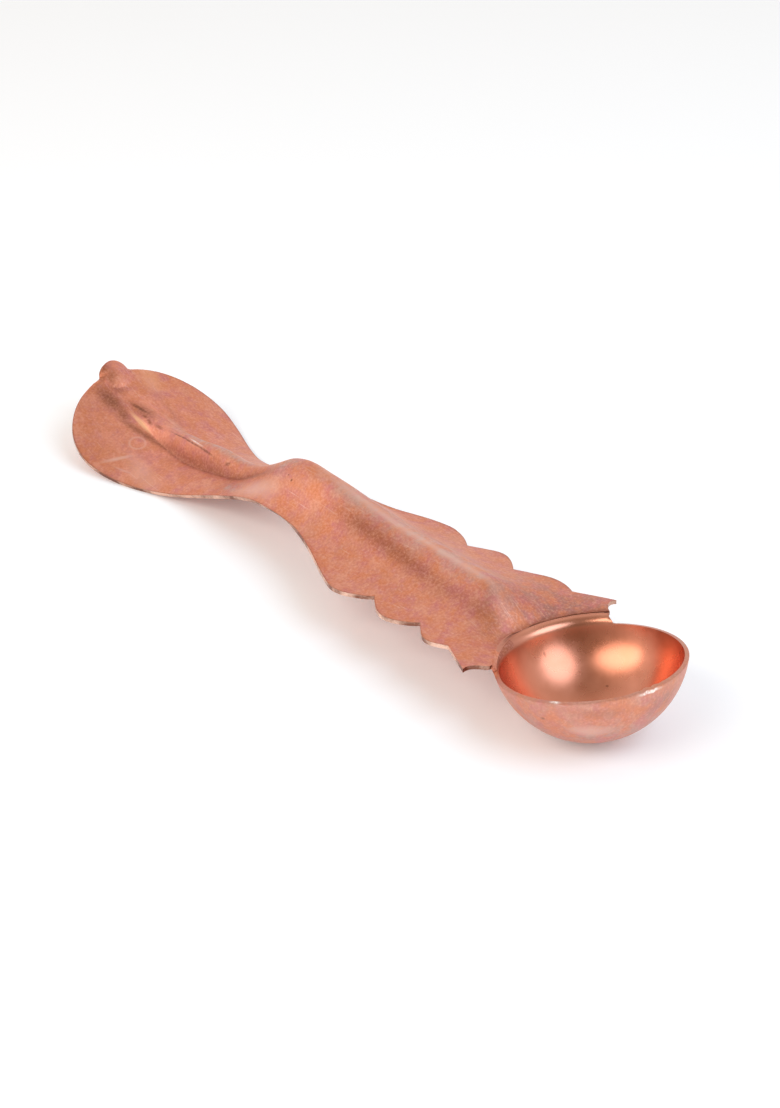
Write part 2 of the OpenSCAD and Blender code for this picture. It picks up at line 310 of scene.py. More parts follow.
def satinCopper(name, look):
    material, tree = newMaterial(name)
    place = addNode(tree, "TexCoord").outputs["Object"]
    cloud = addNode(tree, "TexNoise", {
        "Scale": 1 / (look["cloud"] * mm), "Detail": 5.0, "Roughness": 0.62,
    }, {"Vector": place}).outputs["Fac"]
    grain = addNode(tree, "TexNoise", {
        "Scale": 1 / (look["grain"] * mm), "Detail": 3.0, "Roughness": 0.6,
    }, {"Vector": place}).outputs["Fac"]
    colour = addNode(tree, "ValToRGB", {"stops": [
        (0.30, linear(look["deep"])), (0.5, linear(look["middle"])), (0.72, linear(look["pale"])),
    ]}, {"Fac": cloud}).outputs["Color"]

    # wear along crests, hollows and edges is painted on the piece, with painted highlights on the
    # crests and painted shade in the hollows and on the edges; single marks, some of them painted
    # light or shade, are drawn here
    amounts = {kind: addNode(tree, "Attribute", {"attribute_name": kind}).outputs["Fac"]
               for kind in ("mauve", "ash", "dirt", "rubbed")}
    ring = dropRing(tree, place, *look["ring"])
    amounts["rubbed"] = addNode(tree, "Math", {"operation": "MAXIMUM"},
                                {0: amounts["rubbed"], 1: ring}).outputs[0]
    marks = [((x, y, 0), (long, wide, through), *rest) for x, y, long, wide, *rest in look["marks"]]
    marks += [(mark[:3], mark[3:6], *mark[6:]) for mark in look["bowlMarks"]]
    for at, half, turned, tint, strength in marks:
        spot = spindle(tree, place, at, half, turned, strength)
        if tint in amounts:
            spot = addNode(tree, "Math", {"operation": "MAXIMUM"},
                           {0: amounts[tint], 1: spot}).outputs[0]
        amounts[tint] = spot

    def tinted(under, tint, ragged):
        broken = addNode(tree, "MapRange", {
            "From Min": 0.3, "From Max": 0.7, "To Min": 1 - ragged, "To Max": 1 + ragged,
        }, {"Value": grain}).outputs[0]
        amount = addNode(tree, "Math", {"operation": "MULTIPLY", "use_clamp": True},
                         {0: amounts[tint], 1: broken}).outputs[0]
        return addNode(tree, "Mix", {"data_type": "RGBA", 7: linear(look[tint])},
                       {0: amount, 6: under}).outputs[2]

    for tint, ragged in look["broad"].items():
        colour = tinted(colour, tint, ragged)

    # pinkish and orange blooms inside the cloudy tints
    for tint, seed in (("pink", 5.0), ("orange", 17.0)):
        bloom = addNode(tree, "Mapping", {"Location": (seed, -seed, seed)},
                        {"Vector": place}).outputs["Vector"]
        bloom = addNode(tree, "TexNoise", {
            "Scale": 1 / (look["tint"] * mm), "Detail": 6.0, "Roughness": 0.7,
        }, {"Vector": bloom}).outputs["Fac"]
        bloom = addNode(tree, "MapRange", {"From Min": 0.44, "From Max": 0.62, "To Max": 0.85},
                        {"Value": bloom}).outputs[0]
        colour = addNode(tree, "Mix", {"data_type": "RGBA", 7: linear(look[tint])},
                         {0: bloom, 6: colour}).outputs[2]

    # the etched grain shows as darker flecks and brighter sparks
    for tint, far in (("fleck", 0.72), ("spark", 0.28)):
        flecks = addNode(tree, "MapRange", {"From Min": 0.50, "From Max": far, "To Max": 0.38},
                         {"Value": grain}).outputs[0]
        colour = addNode(tree, "Mix", {"data_type": "RGBA", 7: linear(look[tint])},
                         {0: flecks, 6: colour}).outputs[2]

    # two sets of hairline scratches, each only in patches
    scratches = []
    wide, long = 1 / (look["scratchWide"] * mm), 1 / (look["scratchLong"] * mm)
    for turnBy, seed in ((24, 3.0), (-58, 11.0)):
        lines = addNode(tree, "Mapping", {
            "Rotation": (0, 0, math.radians(turnBy)), "Location": (seed, seed, 0),
            "Scale": (long, wide, long),
        }, {"Vector": place}).outputs["Vector"]
        lines = addNode(tree, "TexNoise", {"Scale": 1.0, "Detail": 1.0},
                        {"Vector": lines}).outputs["Fac"]
        lines = addNode(tree, "MapRange", {"From Min": 0.66, "From Max": 0.78},
                        {"Value": lines}).outputs[0]
        patch = addNode(tree, "Mapping", {"Location": (seed, 0, seed)},
                        {"Vector": place}).outputs["Vector"]
        patch = addNode(tree, "TexNoise", {"Scale": 1 / (look["scratchPatch"] * mm), "Detail": 1.0},
                        {"Vector": patch}).outputs["Fac"]
        patch = addNode(tree, "MapRange", {"From Min": 0.48, "From Max": 0.62},
                        {"Value": patch}).outputs[0]
        scratches.append(addNode(tree, "Math", {"operation": "MULTIPLY"},
                                 {0: lines, 1: patch}).outputs[0])
    scratch = addNode(tree, "Math", {"operation": "MAXIMUM"},
                      {0: scratches[0], 1: scratches[1]}).outputs[0]
    soft = addNode(tree, "Math", {"operation": "MULTIPLY", 1: look["scratchShow"]},
                   {0: scratch}).outputs[0]
    colour = addNode(tree, "Mix", {"data_type": "RGBA", 7: linear(look["scratch"])},
                     {0: soft, 6: colour}).outputs[2]

    for tint, ragged in look["small"].items():
        colour = tinted(colour, tint, ragged)
    rough = addNode(tree, "MapRange", {
        "From Min": 0.3, "From Max": 0.7, "To Min": look["rough"][0], "To Max": look["rough"][1],
    }, {"Value": cloud}).outputs[0]
    height = addNode(tree, "Math", {"operation": "MULTIPLY_ADD", 1: -look["scratchCut"]},
                     {0: scratch, 2: grain}).outputs[0]
    bump = addNode(tree, "Bump", {"Strength": 0.25, "Distance": look["grainDeep"] * mm},
                   {"Height": height}).outputs["Normal"]
    shader = addNode(tree, "BsdfPrincipled", {"Metallic": 1.0},
                     {"Base Color": colour, "Roughness": rough, "Normal": bump}).outputs[0]
    addNode(tree, "OutputMaterial", {}, {"Surface": shader})
    return material


# Copper burnished by use and wiping: a glossy, redder skin with soft smears and a few dark specks
burnished = {
    "deep": "#C4785C",
    "middle": "#D48B70",
    "dull": "#BC7C66",
    # pale tint on the lip: wear with a painted highlight
    "worn": "#EBB9A2",
    "speck": "#7A4632",
    "smear": 6.0,
    "rough": (0.22, 0.33),
    "dullRough": 0.5,
    "ripple": 0.7,        # mm across the fine ripples left by the burnisher
    "rippleDeep": 0.02,
    # specks: x, y, half length, half width in mm, turn in degrees, strength
    "specks": [
        (56.9, 7.3, 0.4, 0.25, 30, 0.7), (48.0, 1.7, 0.45, 0.35, 0, 0.5),
        (63.3, 3.2, 0.25, 0.2, 0, 0.5), (54.8, -6.5, 0.3, 0.2, 60, 0.5),
        (68.8, -4.0, 0.3, 0.22, 0, 0.4),
    ],
}


def burnishedCopper(name, look):
    material, tree = newMaterial(name)
    place = addNode(tree, "TexCoord").outputs["Object"]
    smear = addNode(tree, "TexNoise", {"Scale": 1 / (look["smear"] * mm), "Detail": 4.0},
                    {"Vector": place}).outputs["Fac"]
    colour = addNode(tree, "ValToRGB", {"stops": [
        (0.3, linear(look["deep"])), (0.65, linear(look["middle"])),
    ]}, {"Fac": smear}).outputs["Color"]
    speck = None
    for x, y, long, wide, turned, strength in look["specks"]:
        spot = spindle(tree, place, (x, y, 0), (long, wide, through), turned, strength)
        if speck:
            spot = addNode(tree, "Math", {"operation": "MAXIMUM"}, {0: spot, 1: speck}).outputs[0]
        speck = spot
    colour = addNode(tree, "Mix", {"data_type": "RGBA", 7: linear(look["speck"])},
                     {0: speck, 6: colour}).outputs[2]
    rough = addNode(tree, "MapRange", {
        "From Min": 0.3, "From Max": 0.7, "To Min": look["rough"][0], "To Max": look["rough"][1],
    }, {"Value": smear}).outputs[0]

    # the lip is worn paler, with a painted highlight on it, but its near end was never burnished
    # and stays as matte as the handle
    worn = addNode(tree, "Attribute", {"attribute_name": "worn"}).outputs["Fac"]
    dull = addNode(tree, "Attribute", {"attribute_name": "dull"}).outputs["Fac"]
    for tint, amount in (("worn", worn), ("dull", dull)):
        colour = addNode(tree, "Mix", {"data_type": "RGBA", 7: linear(look[tint])},
                         {0: amount, 6: colour}).outputs[2]
    rough = addNode(tree, "Mix", {3: look["dullRough"]}, {0: dull, 2: rough}).outputs[0]
    ripple = addNode(tree, "TexNoise", {"Scale": 1 / (look["ripple"] * mm), "Detail": 2.0},
                     {"Vector": place}).outputs["Fac"]
    bump = addNode(tree, "Bump", {"Strength": 0.12, "Distance": look["rippleDeep"] * mm},
                   {"Height": ripple}).outputs["Normal"]
    shader = addNode(tree, "BsdfPrincipled", {"Metallic": 1.0},
                     {"Base Color": colour, "Roughness": rough, "Normal": bump}).outputs[0]
    addNode(tree, "OutputMaterial", {}, {"Surface": shader})
    return material


# Copper sheet where shears and file cut it: duller and greyer, darkened as painted shade along the
# outline, with bright filed bits that also stand in as painted glints
cutEdge = {
    "dull": "#8C5E4E",
    "bright": "#F0C6B0",
    "bits": 9.0,
    "burr": 0.3,
    "burrDeep": 0.05,
    "rough": 0.38,
}


def cutCopper(name, look):
    material, tree = newMaterial(name)
    place = addNode(tree, "TexCoord").outputs["Object"]
    bits = addNode(tree, "TexNoise", {
        "Scale": 1 / (look["bits"] * mm), "Detail": 5.0, "Roughness": 0.7,
    }, {"Vector": place}).outputs["Fac"]
    colour = addNode(tree, "ValToRGB", {"stops": [
        (0.44, linear(look["dull"])), (0.60, linear(look["bright"])),
    ]}, {"Fac": bits}).outputs["Color"]
    burr = addNode(tree, "TexNoise", {"Scale": 1 / (look["burr"] * mm), "Detail": 2.0},
                   {"Vector": place}).outputs["Fac"]
    bump = addNode(tree, "Bump", {"Strength": 0.4, "Distance": look["burrDeep"] * mm},
                   {"Height": burr}).outputs["Normal"]
    shader = addNode(tree, "BsdfPrincipled", {"Metallic": 1.0, "Roughness": look["rough"]},
                     {"Base Color": colour, "Normal": bump}).outputs[0]
    addNode(tree, "OutputMaterial", {}, {"Surface": shader})
    return material


# Braze filler left from the torch: brown-black with coppery grains where it was wiped
brazeFiller = {
    "dark": "#6B3E2C",
    "wiped": "#C98A74",
    "grains": 0.9,
    "grainDeep": 0.06,
    "grainSoot": 0.5,     # how far the grains break up the soot
    "rough": (0.62, 0.40),
}


def oxidisedBraze(name, look):
    material, tree = newMaterial(name)
    place = addNode(tree, "TexCoord").outputs["Object"]
    grains = addNode(tree, "TexNoise", {"Scale": 1 / (look["grains"] * mm), "Detail": 4.0},
                     {"Vector": place}).outputs["Fac"]
    sooty = addNode(tree, "Attribute", {"attribute_name": "sooty"}).outputs["Fac"]
    sooty = addNode(tree, "Math", {"operation": "MULTIPLY_ADD", 1: look["grainSoot"]},
                    {0: grains, 2: sooty}).outputs[0]
    colour = addNode(tree, "ValToRGB", {"stops": [
        (0.35, linear(look["wiped"])), (1.0, linear(look["dark"])),
    ]}, {"Fac": sooty}).outputs["Color"]
    rough = addNode(tree, "MapRange", {"To Min": look["rough"][0], "To Max": look["rough"][1]},
                    {"Value": grains}).outputs[0]
    bump = addNode(tree, "Bump", {"Strength": 0.5, "Distance": look["grainDeep"] * mm},
                   {"Height": grains}).outputs["Normal"]
    shader = addNode(tree, "BsdfPrincipled", {"Metallic": 1.0},
                     {"Base Color": colour, "Roughness": rough, "Normal": bump}).outputs[0]
    addNode(tree, "OutputMaterial", {}, {"Surface": shader})
    return material


satinSkin = satinCopper("pickled_satin_copper", satin)
burnishedSkin = burnishedCopper("burnished_copper", burnished)
cutSkin = cutCopper("sheared_copper_edge", cutEdge)
brazeSkin = oxidisedBraze("oxidised_braze", brazeFiller)
print("materials made")


def applyModifier(piece, kind, **settings):
    modifier = piece.modifiers.new(kind.lower(), kind)
    for key, value in settings.items():
        setattr(modifier, key, value)
    bpy.context.view_layer.objects.active = piece
    bpy.ops.object.modifier_apply(modifier=modifier.name)


def selectEdges(piece, wanted):
    # leaves the piece in edit mode with only those edges selected
    bpy.ops.object.mode_set(mode="EDIT")
    bpy.ops.mesh.select_mode(type="EDGE")
    bpy.ops.mesh.select_all(action="DESELECT")
    bpy.ops.object.mode_set(mode="OBJECT")
    points = piece.data.vertices
    for edge in piece.data.edges:
        edge.select = all(wanted(points[i].co) for i in edge.vertices)
    bpy.ops.object.mode_set(mode="EDIT")


def paintWear(piece, painted):
    for kind, values in painted.items():
        piece.data.attributes.new(kind, "FLOAT", "POINT").data.foreach_set("value", values)


def finishPiece(piece, node, sharpAngle=40):
    bpy.ops.object.mode_set(mode="OBJECT")
    bpy.ops.object.select_all(action="DESELECT")
    piece.select_set(True)
    bpy.context.view_layer.objects.active = piece
    bpy.ops.object.shade_smooth_by_angle(angle=math.radians(sharpAngle))
    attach(piece, "root")
    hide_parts(node)
    print(piece.name, "made,", len(piece.data.polygons), "faces")


# bowl: a ball cut at the rim plane, with the rim next to the handle drawn out into a lip
bpy.ops.object.select_all(action="DESELECT")
bpy.ops.mesh.primitive_uv_sphere_add(segments=bowl["segments"], ring_count=bowl["rings"],
                                     radius=ballR * mm, location=inRimFrame(0, 0, ballUp) * mm,
                                     rotation=(0, -math.radians(bowl["tilt"]), 0))
bowlShell = bpy.context.object
bowlShell.name = "bowl_shell"
bpy.ops.object.transform_apply(location=True, rotation=True, scale=True)
bpy.ops.object.mode_set(mode="EDIT")
bpy.ops.mesh.select_all(action="SELECT")
rimUp = inRimFrame(0, 0, 1) - inRimFrame(0, 0, 0)
bpy.ops.mesh.bisect(plane_co=inRimFrame(0, 0, 0) * mm, plane_no=rimUp, clear_outer=True)


def onLipRim(point, nearMm=0.01, spareDegrees=0.1):
    z, angle = rimPlace(point)
    return abs(z) < nearMm and abs(angle) < bowl["lipGone"] + spareDegrees


selectEdges(bowlShell, onLipRim)
for step in range(1, bowl["lipSteps"] + 1):
    bpy.ops.mesh.extrude_edges_move(TRANSFORM_OT_translate={"value": (0, 0, 0)})
    bpy.ops.object.mode_set(mode="OBJECT")
    for point in bowlShell.data.vertices:
        if point.select:
            angle = rimPlace(point.co)[1]
            full = 1 - rise(bowl["lipFull"], bowl["lipGone"], abs(angle))
            bend = mix(wallLean, lipBendAt(angle), step / bowl["lipSteps"] * full)
            r, z = lipAxisR - lipR * cosine(bend), lipAxisZ + lipR * sine(bend)
            point.co = inRimFrame(-r * cosine(angle), r * sine(angle), z) * mm
    bpy.ops.object.mode_set(mode="EDIT")
bpy.ops.mesh.select_all(action="SELECT")
bpy.ops.mesh.remove_doubles(threshold=bowl["mergeWithin"] * mm)
bpy.ops.mesh.normals_make_consistent(inside=False)
bpy.ops.object.mode_set(mode="OBJECT")
for skin in (satinSkin, burnishedSkin):
    bowlShell.data.materials.append(skin)
applyModifier(bowlShell, "SOLIDIFY", thickness=sheetThick * mm, offset=-1.0,
              use_quality_normals=True, material_offset=1)

bowlWear = {
    "lipFade": 2.0,                # degrees over which the lip's wear ends
    "dullHigh": (-0.2, 0.5),       # mm above the rim plane where the lip turns dull
    "dullTurn": (-18, 4),          # degrees from the handle's middle where that ends
    "dullBare": 0.9,               # from here on the lip has the handle's skin
    "worn": 0.15,
    "wornAndSheenHigh": (-0.8, 0.4),
    "wornAndSheenTurn": (-20, 5),
    "rubbed": 0.12,
    # brown tint and painted shade on the lip's dull near end
    "lipDirtAndShade": 0.65,
    "rimDirt": 0.3,
    "rimHigh": (-0.4, 0.0),
    "ash": (0.95, 0.3),            # painted reflection of the white floor, by the stand and by the rim
    "ashHigh": (6.5, 11.0),        # mm above the table between the two
    # the mauve on the bowl's foot is a painted reflection of the floor
    "mauve": (0.4, 0.12),
    "mauveHigh": (4.0, 10.0),
}
painted = {kind: [] for kind in ("dull", "worn", "rubbed", "dirt", "ash", "mauve")}
for point in bowlShell.data.vertices:
    z, angle = rimPlace(point.co)
    high = point.co.z / mm
    lipEnd = bowl["lipGone"]
    lip = 1 - rise(lipEnd - bowlWear["lipFade"], lipEnd + bowlWear["lipFade"], abs(angle))
    dull = rise(*bowlWear["dullHigh"], z) * (1 - rise(*bowlWear["dullTurn"], angle)) * lip
    worn = rise(*bowlWear["wornAndSheenHigh"], z) * rise(*bowlWear["wornAndSheenTurn"], angle) * lip
    rimDirt = bowlWear["rimDirt"] * rise(*bowlWear["rimHigh"], z) * (1 - lip)
    painted["dull"].append(dull)
    painted["worn"].append(bowlWear["worn"] * worn)
    painted["rubbed"].append(bowlWear["rubbed"] * (1 - lip))
    painted["dirt"].append(bowlWear["lipDirtAndShade"] * dull + rimDirt)
    for kind in ("ash", "mauve"):
        painted[kind].append(mix(*bowlWear[kind], rise(*bowlWear[kind + "High"], high)))
paintWear(bowlShell, painted)
for face in bowlShell.data.polygons:
    if all(painted["dull"][i] > bowlWear["dullBare"] for i in face.vertices):
        face.material_index = 0
for point in bowlShell.data.vertices:
    point.co.z = max(point.co.z, 0.0)  # worn flat where the bowl stands
    z, angle = rimPlace(point.co)
    off = (angle - bowl["knock"] + 180) % 360 - 180
    pushed = bowl["knockDeep"] * rise(-bowl["knockTall"], 0, z) * fade(off, bowl["knockWide"])
    pushed *= bowl["knockEven"] + bowl["knockRipple"] * math.sin(off * bowl["ripplePitch"])
    point.co += Vector((cosine(angle), -sine(angle), 0)) * pushed * mm
finishPiece(bowlShell, "bowl")


# handle: one blank with scalloped edges, pressed over a ridge, a hood and its spine
handle = {
    # lengths along the blank
    "seam": 0.32, "rootLen": 2.6, "lobeALen": 10.2, "lobeBLen": 11.8, "shoulderLen": 7.2,
    "neckLen": 23.6, "slopeLen": 37.4, "hoodLead": 12.0, "curlR": 39.0, "hornLen": 4.6,
    # widths and the notches
    "hornAcross": 32.6, "bladeAcross": 28.4, "neckAcross": 15.0, "hoodAcross": 31.4,
    "knobAcross": 6.2, "notchDepth": 3.0, "notchLead": 1.5, "blankShift": 0.6,
    # heights of the edge and of the pressed forms above it
    "hornZ": 11.3, "shoulderZ": 8.8, "neckZ": 9.4, "ridgeHigh": 4.7, "humpHigh": 2.3,
    "ridgeWide": 6.0, "crownHigh": 2.5, "spineHigh": 4.0, "spineAcross": 5.4, "knobHigh": 0.6,
    # shares of the slope from the neck to the hood where forms start or stop
    "edgeFrom": 0.14, "hoodFrom": 0.32, "ridgeStop": 0.57, "crown": (0.22, 0.78),
    "spine": (0.16, 0.84),
    # how the curves ease in and out, as powers or as shares of a stretch
    "neckEase": 0.78, "hoodEase": 1.4, "hoodEarly": 0.06, "edgeEase": 1.5, "slopeEase": 0.82,
    "ridgeBow": 0.6, "ridgeFull": 0.6, "humpBefore": 0.1, "crownLoss": 0.7, "spineThin": 0.75,
    "spineEase": 1.5, "skewShare": 0.34, "hoodShift": 0.3, "hornBow": 0.22,
    # shares of the knob's radius: how far it sits in the hood, where its rows start, its cut tip
    "knobIn": 0.24, "knobFoot": 0.15, "tipIn": 0.995,
    "lipReach": 53.0,     # degrees of the lip that the handle is brazed to
    "unevenness": 0.04,   # height of the hand-worked waves in the sheet
    # the waves, 8 to 13 mm long, in radians per mm along and across; two are crossed, one slants
    "crossedWaves": ((0.61, 0.23), (0.11, 0.47)), "slantWave": (0.29, -0.71), "slantShare": 0.6,
    # rows of the mesh along each stretch, columns to either side
    "rows": {"root": 12, "lobeA": 30, "lobeB": 32, "shoulder": 16, "neck": 36, "slope": 56,
             "lead": 20, "hood": 34, "knob": 14},
    "innerCols": 30, "outerCols": 7, "colEase": 0.3,
}
jointR, jointZ = pastLip(0, handle["seam"])
jointAt = jointR * cosine(bowl["tilt"]) + jointZ * sine(bowl["tilt"])
notchA = jointAt + handle["rootLen"]
notchB = notchA + handle["lobeALen"]
notchC = notchB + handle["lobeBLen"]
shoulder = notchC + handle["shoulderLen"]
neck = shoulder + handle["neckLen"]
restLine = neck + handle["slopeLen"]
hoodMid = restLine + handle["hoodLead"]
hoodR = handle["hoodAcross"] / 2
hoodEnd = hoodMid + hoodR
knobR = handle["knobAcross"] / 2
knobMid = hoodEnd - knobR * handle["knobIn"]
tip = knobMid + knobR * handle["tipIn"]
lobeHalf = handle["bladeAcross"] / 2
notchHalf = lobeHalf - handle["notchDepth"]
rootHalf = lobeHalf - handle["notchDepth"] / 3
neckHalf = handle["neckAcross"] / 2
hornHalf = handle["hornAcross"] / 2
formIn = handle["notchDepth"] / 2
skewStop = neck - handle["neckLen"] * handle["skewShare"]
ridgeFull = notchA + handle["lobeALen"] * handle["ridgeFull"]


def downSlope(share):
    return neck + handle["slopeLen"] * share


crownFrom, crownFull = (downSlope(share) for share in handle["crown"])
spineFrom, spineFull = (downSlope(share) for share in handle["spine"])


def halfWidth(t):
    if t < notchC:
        a, b, wide = (notchA, notchB, rootHalf) if t < notchB else (notchB, notchC, notchHalf)
        k = partOf(a, b, t)
        return mix(wide, notchHalf, k) + (lobeHalf - (wide + notchHalf) / 2) * sine(180 * k)
    if t < shoulder:
        return mix(notchHalf, lobeHalf, sine(90 * partOf(notchC, shoulder, t)))
    if t < neck:
        return mix(lobeHalf, neckHalf, rise(shoulder, neck, t, handle["neckEase"]))
    if t < hoodMid:
        hoodFrom, early = downSlope(handle["hoodFrom"]), handle["hoodEarly"]
        late = rise(hoodFrom, hoodMid, t, handle["hoodEase"])
        return mix(neckHalf, hoodR, early * rise(neck, hoodFrom, t) + (1 - early) * late)
    return max(arc(hoodR, t - hoodMid), arc(knobR, t - knobMid))


def formHalf(t):
    # the form doesn't follow the scallops or the knob's round end: they are cut out of it
    if t < shoulder:
        return lobeHalf - formIn
    return max(knobR, halfWidth(t) - formIn * (1 - rise(shoulder, neck, t)))


def edgeZ(t):
    if t < shoulder:
        down = partOf(0, shoulder, t) ** handle["edgeEase"]
        return mix(handle["hornZ"], handle["shoulderZ"], down)
    level = mix(handle["shoulderZ"], handle["neckZ"], rise(shoulder, neck, t))
    down = rise(downSlope(handle["edgeFrom"]), restLine, t, handle["slopeEase"])
    return mix(level, sheetThick / 2, down)


def ridge(t):
    # in the middle of its end the sheet comes down to the lip
    start = partOf(jointAt, ridgeFull, t)
    humpAt = neck - handle["neckLen"] * handle["humpBefore"]
    high = handle["ridgeHigh"] * mix(start, sine(90 * start), handle["ridgeBow"])
    high += handle["humpHigh"] * rise(jointAt, humpAt, t)
    high *= 1 - rise(neck, downSlope(handle["ridgeStop"]), t)
    return high - lipDip * (1 - start)


def crown(t):
    high = handle["crownHigh"] * rise(crownFrom, crownFull, t)
    return high * (1 - handle["crownLoss"] * rise(hoodMid, hoodEnd, t))


def spine(t):
    high = handle["spineHigh"] * rise(spineFrom, spineFull, t)
    return high * (1 - rise(spineFull, hoodEnd - knobR, t))


def spineHalf(t):
    return handle["spineAcross"] / 2 * mix(handle["spineThin"], 1, rise(spineFrom, spineFull, t))


def bell(y, half):
    foot = 1 / (1 + (half / handle["ridgeWide"]) ** 2)
    return max(0.0, 1 / (1 + (y / handle["ridgeWide"]) ** 2) - foot) / (1 - foot)


def wave(t, y, along, side):
    return math.sin(t * along + y * side)


def handWaves(t, y):
    first, second = (wave(t, y, *pitch) for pitch in handle["crossedWaves"])
    slant = handle["slantShare"] * wave(t, y, *handle["slantWave"])
    return handle["unevenness"] * (first * second + slant)


def pressHeight(t, y):
    q, p = min(1.0, abs(y) / formHalf(t)), min(1.0, abs(y) / spineHalf(t))
    d = math.hypot(t - knobMid, y) / knobR
    knob = handle["knobHigh"] * (1 - d * d) if d < 1 else 0
    return (ridge(t) * bell(y, formHalf(t)) + crown(t) * (1 - q * q)
            + spine(t) * cosine(90 * p ** handle["spineEase"]) ** 2 + knob + handWaves(t, y))


def onPath(t, y):
    curl = handle["curlR"]
    turned = math.degrees(max(0, t - restLine) / curl)
    high = pressHeight(t, y)
    return Vector((-(min(t, restLine) + curl * sine(turned) - high * sine(turned)), y,
                   edgeZ(t) + curl * (1 - cosine(turned)) + high * cosine(turned)))


# columns: the inner ones end on the lip, the outer ones on the horns
innerCols, outerCols = handle["innerCols"], handle["outerCols"]
sideCols = innerCols + outerCols
lipShare = jointR * sine(handle["lipReach"]) / hornHalf


def across(col):
    n, k = abs(col), abs(col) / innerCols
    if n <= innerCols:
        share = lipShare * mix(k, k ** 3, handle["colEase"])
    else:
        share = mix(lipShare, 1, (n - innerCols) / outerCols)
    return math.copysign(share, col)


def onLip(angle):
    r, z = pastLip(angle, handle["seam"])
    return inRimFrame(-r * cosine(angle), r * sine(angle), z) - Vector((bowlX, 0, 0))


lipDip = edgeZ(jointAt) - onLip(0).z


def jointPoint(col):
    if abs(col) <= innerCols:
        return onLip(math.degrees(math.asin(max(-1, min(1, across(col) * hornHalf / jointR)))))
    k = (abs(col) - innerCols) / outerCols
    side = math.copysign(1, col)
    horn = Vector((handle["hornLen"] - jointAt, side * hornHalf, handle["hornZ"]))
    bow = 4 * handle["hornLen"] * handle["hornBow"] * k * (1 - k)
    return onLip(side * handle["lipReach"]).lerp(horn, k) - Vector((bow, 0, 0))


# rows: closer together where the outline turns fast
def spread(a, b, stretch, ease=lambda k: k):
    count = handle["rows"][stretch]
    return [mix(a, b, ease(i / count)) for i in range(1, count + 1)]


def bothEnds(k):
    return (1 - cosine(180 * k)) / 2


def firstEnd(k):
    return 1 - cosine(90 * k)


def lastEnd(k):
    return sine(90 * k)


rootRows = handle["rows"]["root"]
knobFoot = knobMid - knobR * handle["knobFoot"]
rows = spread(notchA, notchB, "lobeA", bothEnds) + spread(notchB, notchC, "lobeB", bothEnds)
rows += spread(notchC, shoulder, "shoulder", firstEnd) + spread(shoulder, neck, "neck")
rows += spread(neck, restLine, "slope") + spread(restLine, hoodMid, "lead")
rows += spread(hoodMid, knobFoot, "hood", lastEnd) + spread(knobFoot, tip, "knob", lastEnd)


def blankPlace(row, col):
    # place along the path and across it, and the point on the pressed sheet
    if row <= rootRows:
        k, start = row / rootRows, jointPoint(col)
        t, y = mix(-start.x, notchA, k), mix(start.y, across(col) * rootHalf, k)
        off = start.z - onPath(-start.x, start.y).z
        return t, y, Vector((-t, y, onPath(t, y).z + off * (1 - rise(0, 1, k))))
    t, share = rows[row - rootRows - 1], across(col)
    skewed = rise(notchA, notchB, t) * (1 - rise(shoulder, skewStop, t))
    shifted = skewed + handle["hoodShift"] * rise(restLine, hoodMid, t)
    y = share * halfWidth(t) - handle["blankShift"] * shifted
    t += share * handle["notchLead"] * skewed
    return t, y, onPath(t, y)


# wear on the handle, with painted highlights, painted reflections and painted shade
wear = {
    "crestRubbedAndSheen": 0.45,
    "crestWide": 0.75,        # mm to either side of the ridge that handling has rubbed bright, with a painted highlight
    "crestPale": 0.9,
    "paleWide": 2.2,          # and made pale, as a painted sheen
    "crestStop": (8, 2),      # mm past the shoulder and the neck where that fades
    "foot": (0.75, 0.25),     # dirt and painted shade along the spine's foot, at the spoon's right and left
    "footAway": 2.3,          # mm from the spine's crest to that darkening
    "footOut": 2.6,           # mm by which that darkening turns away at the knob's end
    "footTurn": (3, 5),       # mm past the rest line and the hood's middle where it turns
    "footWide": 0.75,
    "footFrom": (0.1, 0.45),  # shares of the slope where it comes in
    "band": (0.4, 0.74),      # the band of painted dark reflection below the crest, by the bowl and by the shoulder
    "bandFar": 0.35,          # its share on the spoon's left
    "bandAway": 3.1,          # mm from the crest to the band
    "bandOut": 4.3,           # and to its fainter end by the bowl
    "bandWide": 1.4,
    "bandFull": 3,            # mm past the last notch where it is strongest
    "bandStart": (-3, 5),     # mm from the first notch
    "bandStop": (6, -6),      # mm past the shoulder and the neck where it fades
    "heatTintAndShade": 0.85,
    "heatLong": 20.0,         # mm of dull heat tint, with painted shade towards the crease, next to the braze
    "heatSide": (-9, 5),      # mm across, from none to all of it
    "soot": 0.75,
    "sootWide": 0.8,          # mm of brown soot and painted crease shade right beside the braze
    "sootTurn": (-40, 10),    # degrees from the middle, from none to all of it
    "edgeDirt": 0.55,         # painted shade as a dark line along the outline
}


def crestAt(t, y, wide):
    pastShoulder, pastNeck = wear["crestStop"]
    crest = fade(y, wear[wide]) * rise(notchA, notchB, t)
    return crest * (1 - rise(shoulder + pastShoulder, neck + pastNeck, t))


def footAt(t, y):
    near, far = wear["foot"]
    a, b = wear["footTurn"]
    away = wear["footAway"] + wear["footOut"] * rise(restLine + a, hoodMid + b, t)
    foot = fade(abs(y) - away, wear["footWide"]) * (near if y < 0 else far)
    foot *= rise(*(downSlope(share) for share in wear["footFrom"]), t)
    return foot * (1 - rise(hoodMid, hoodEnd - knobR, t))


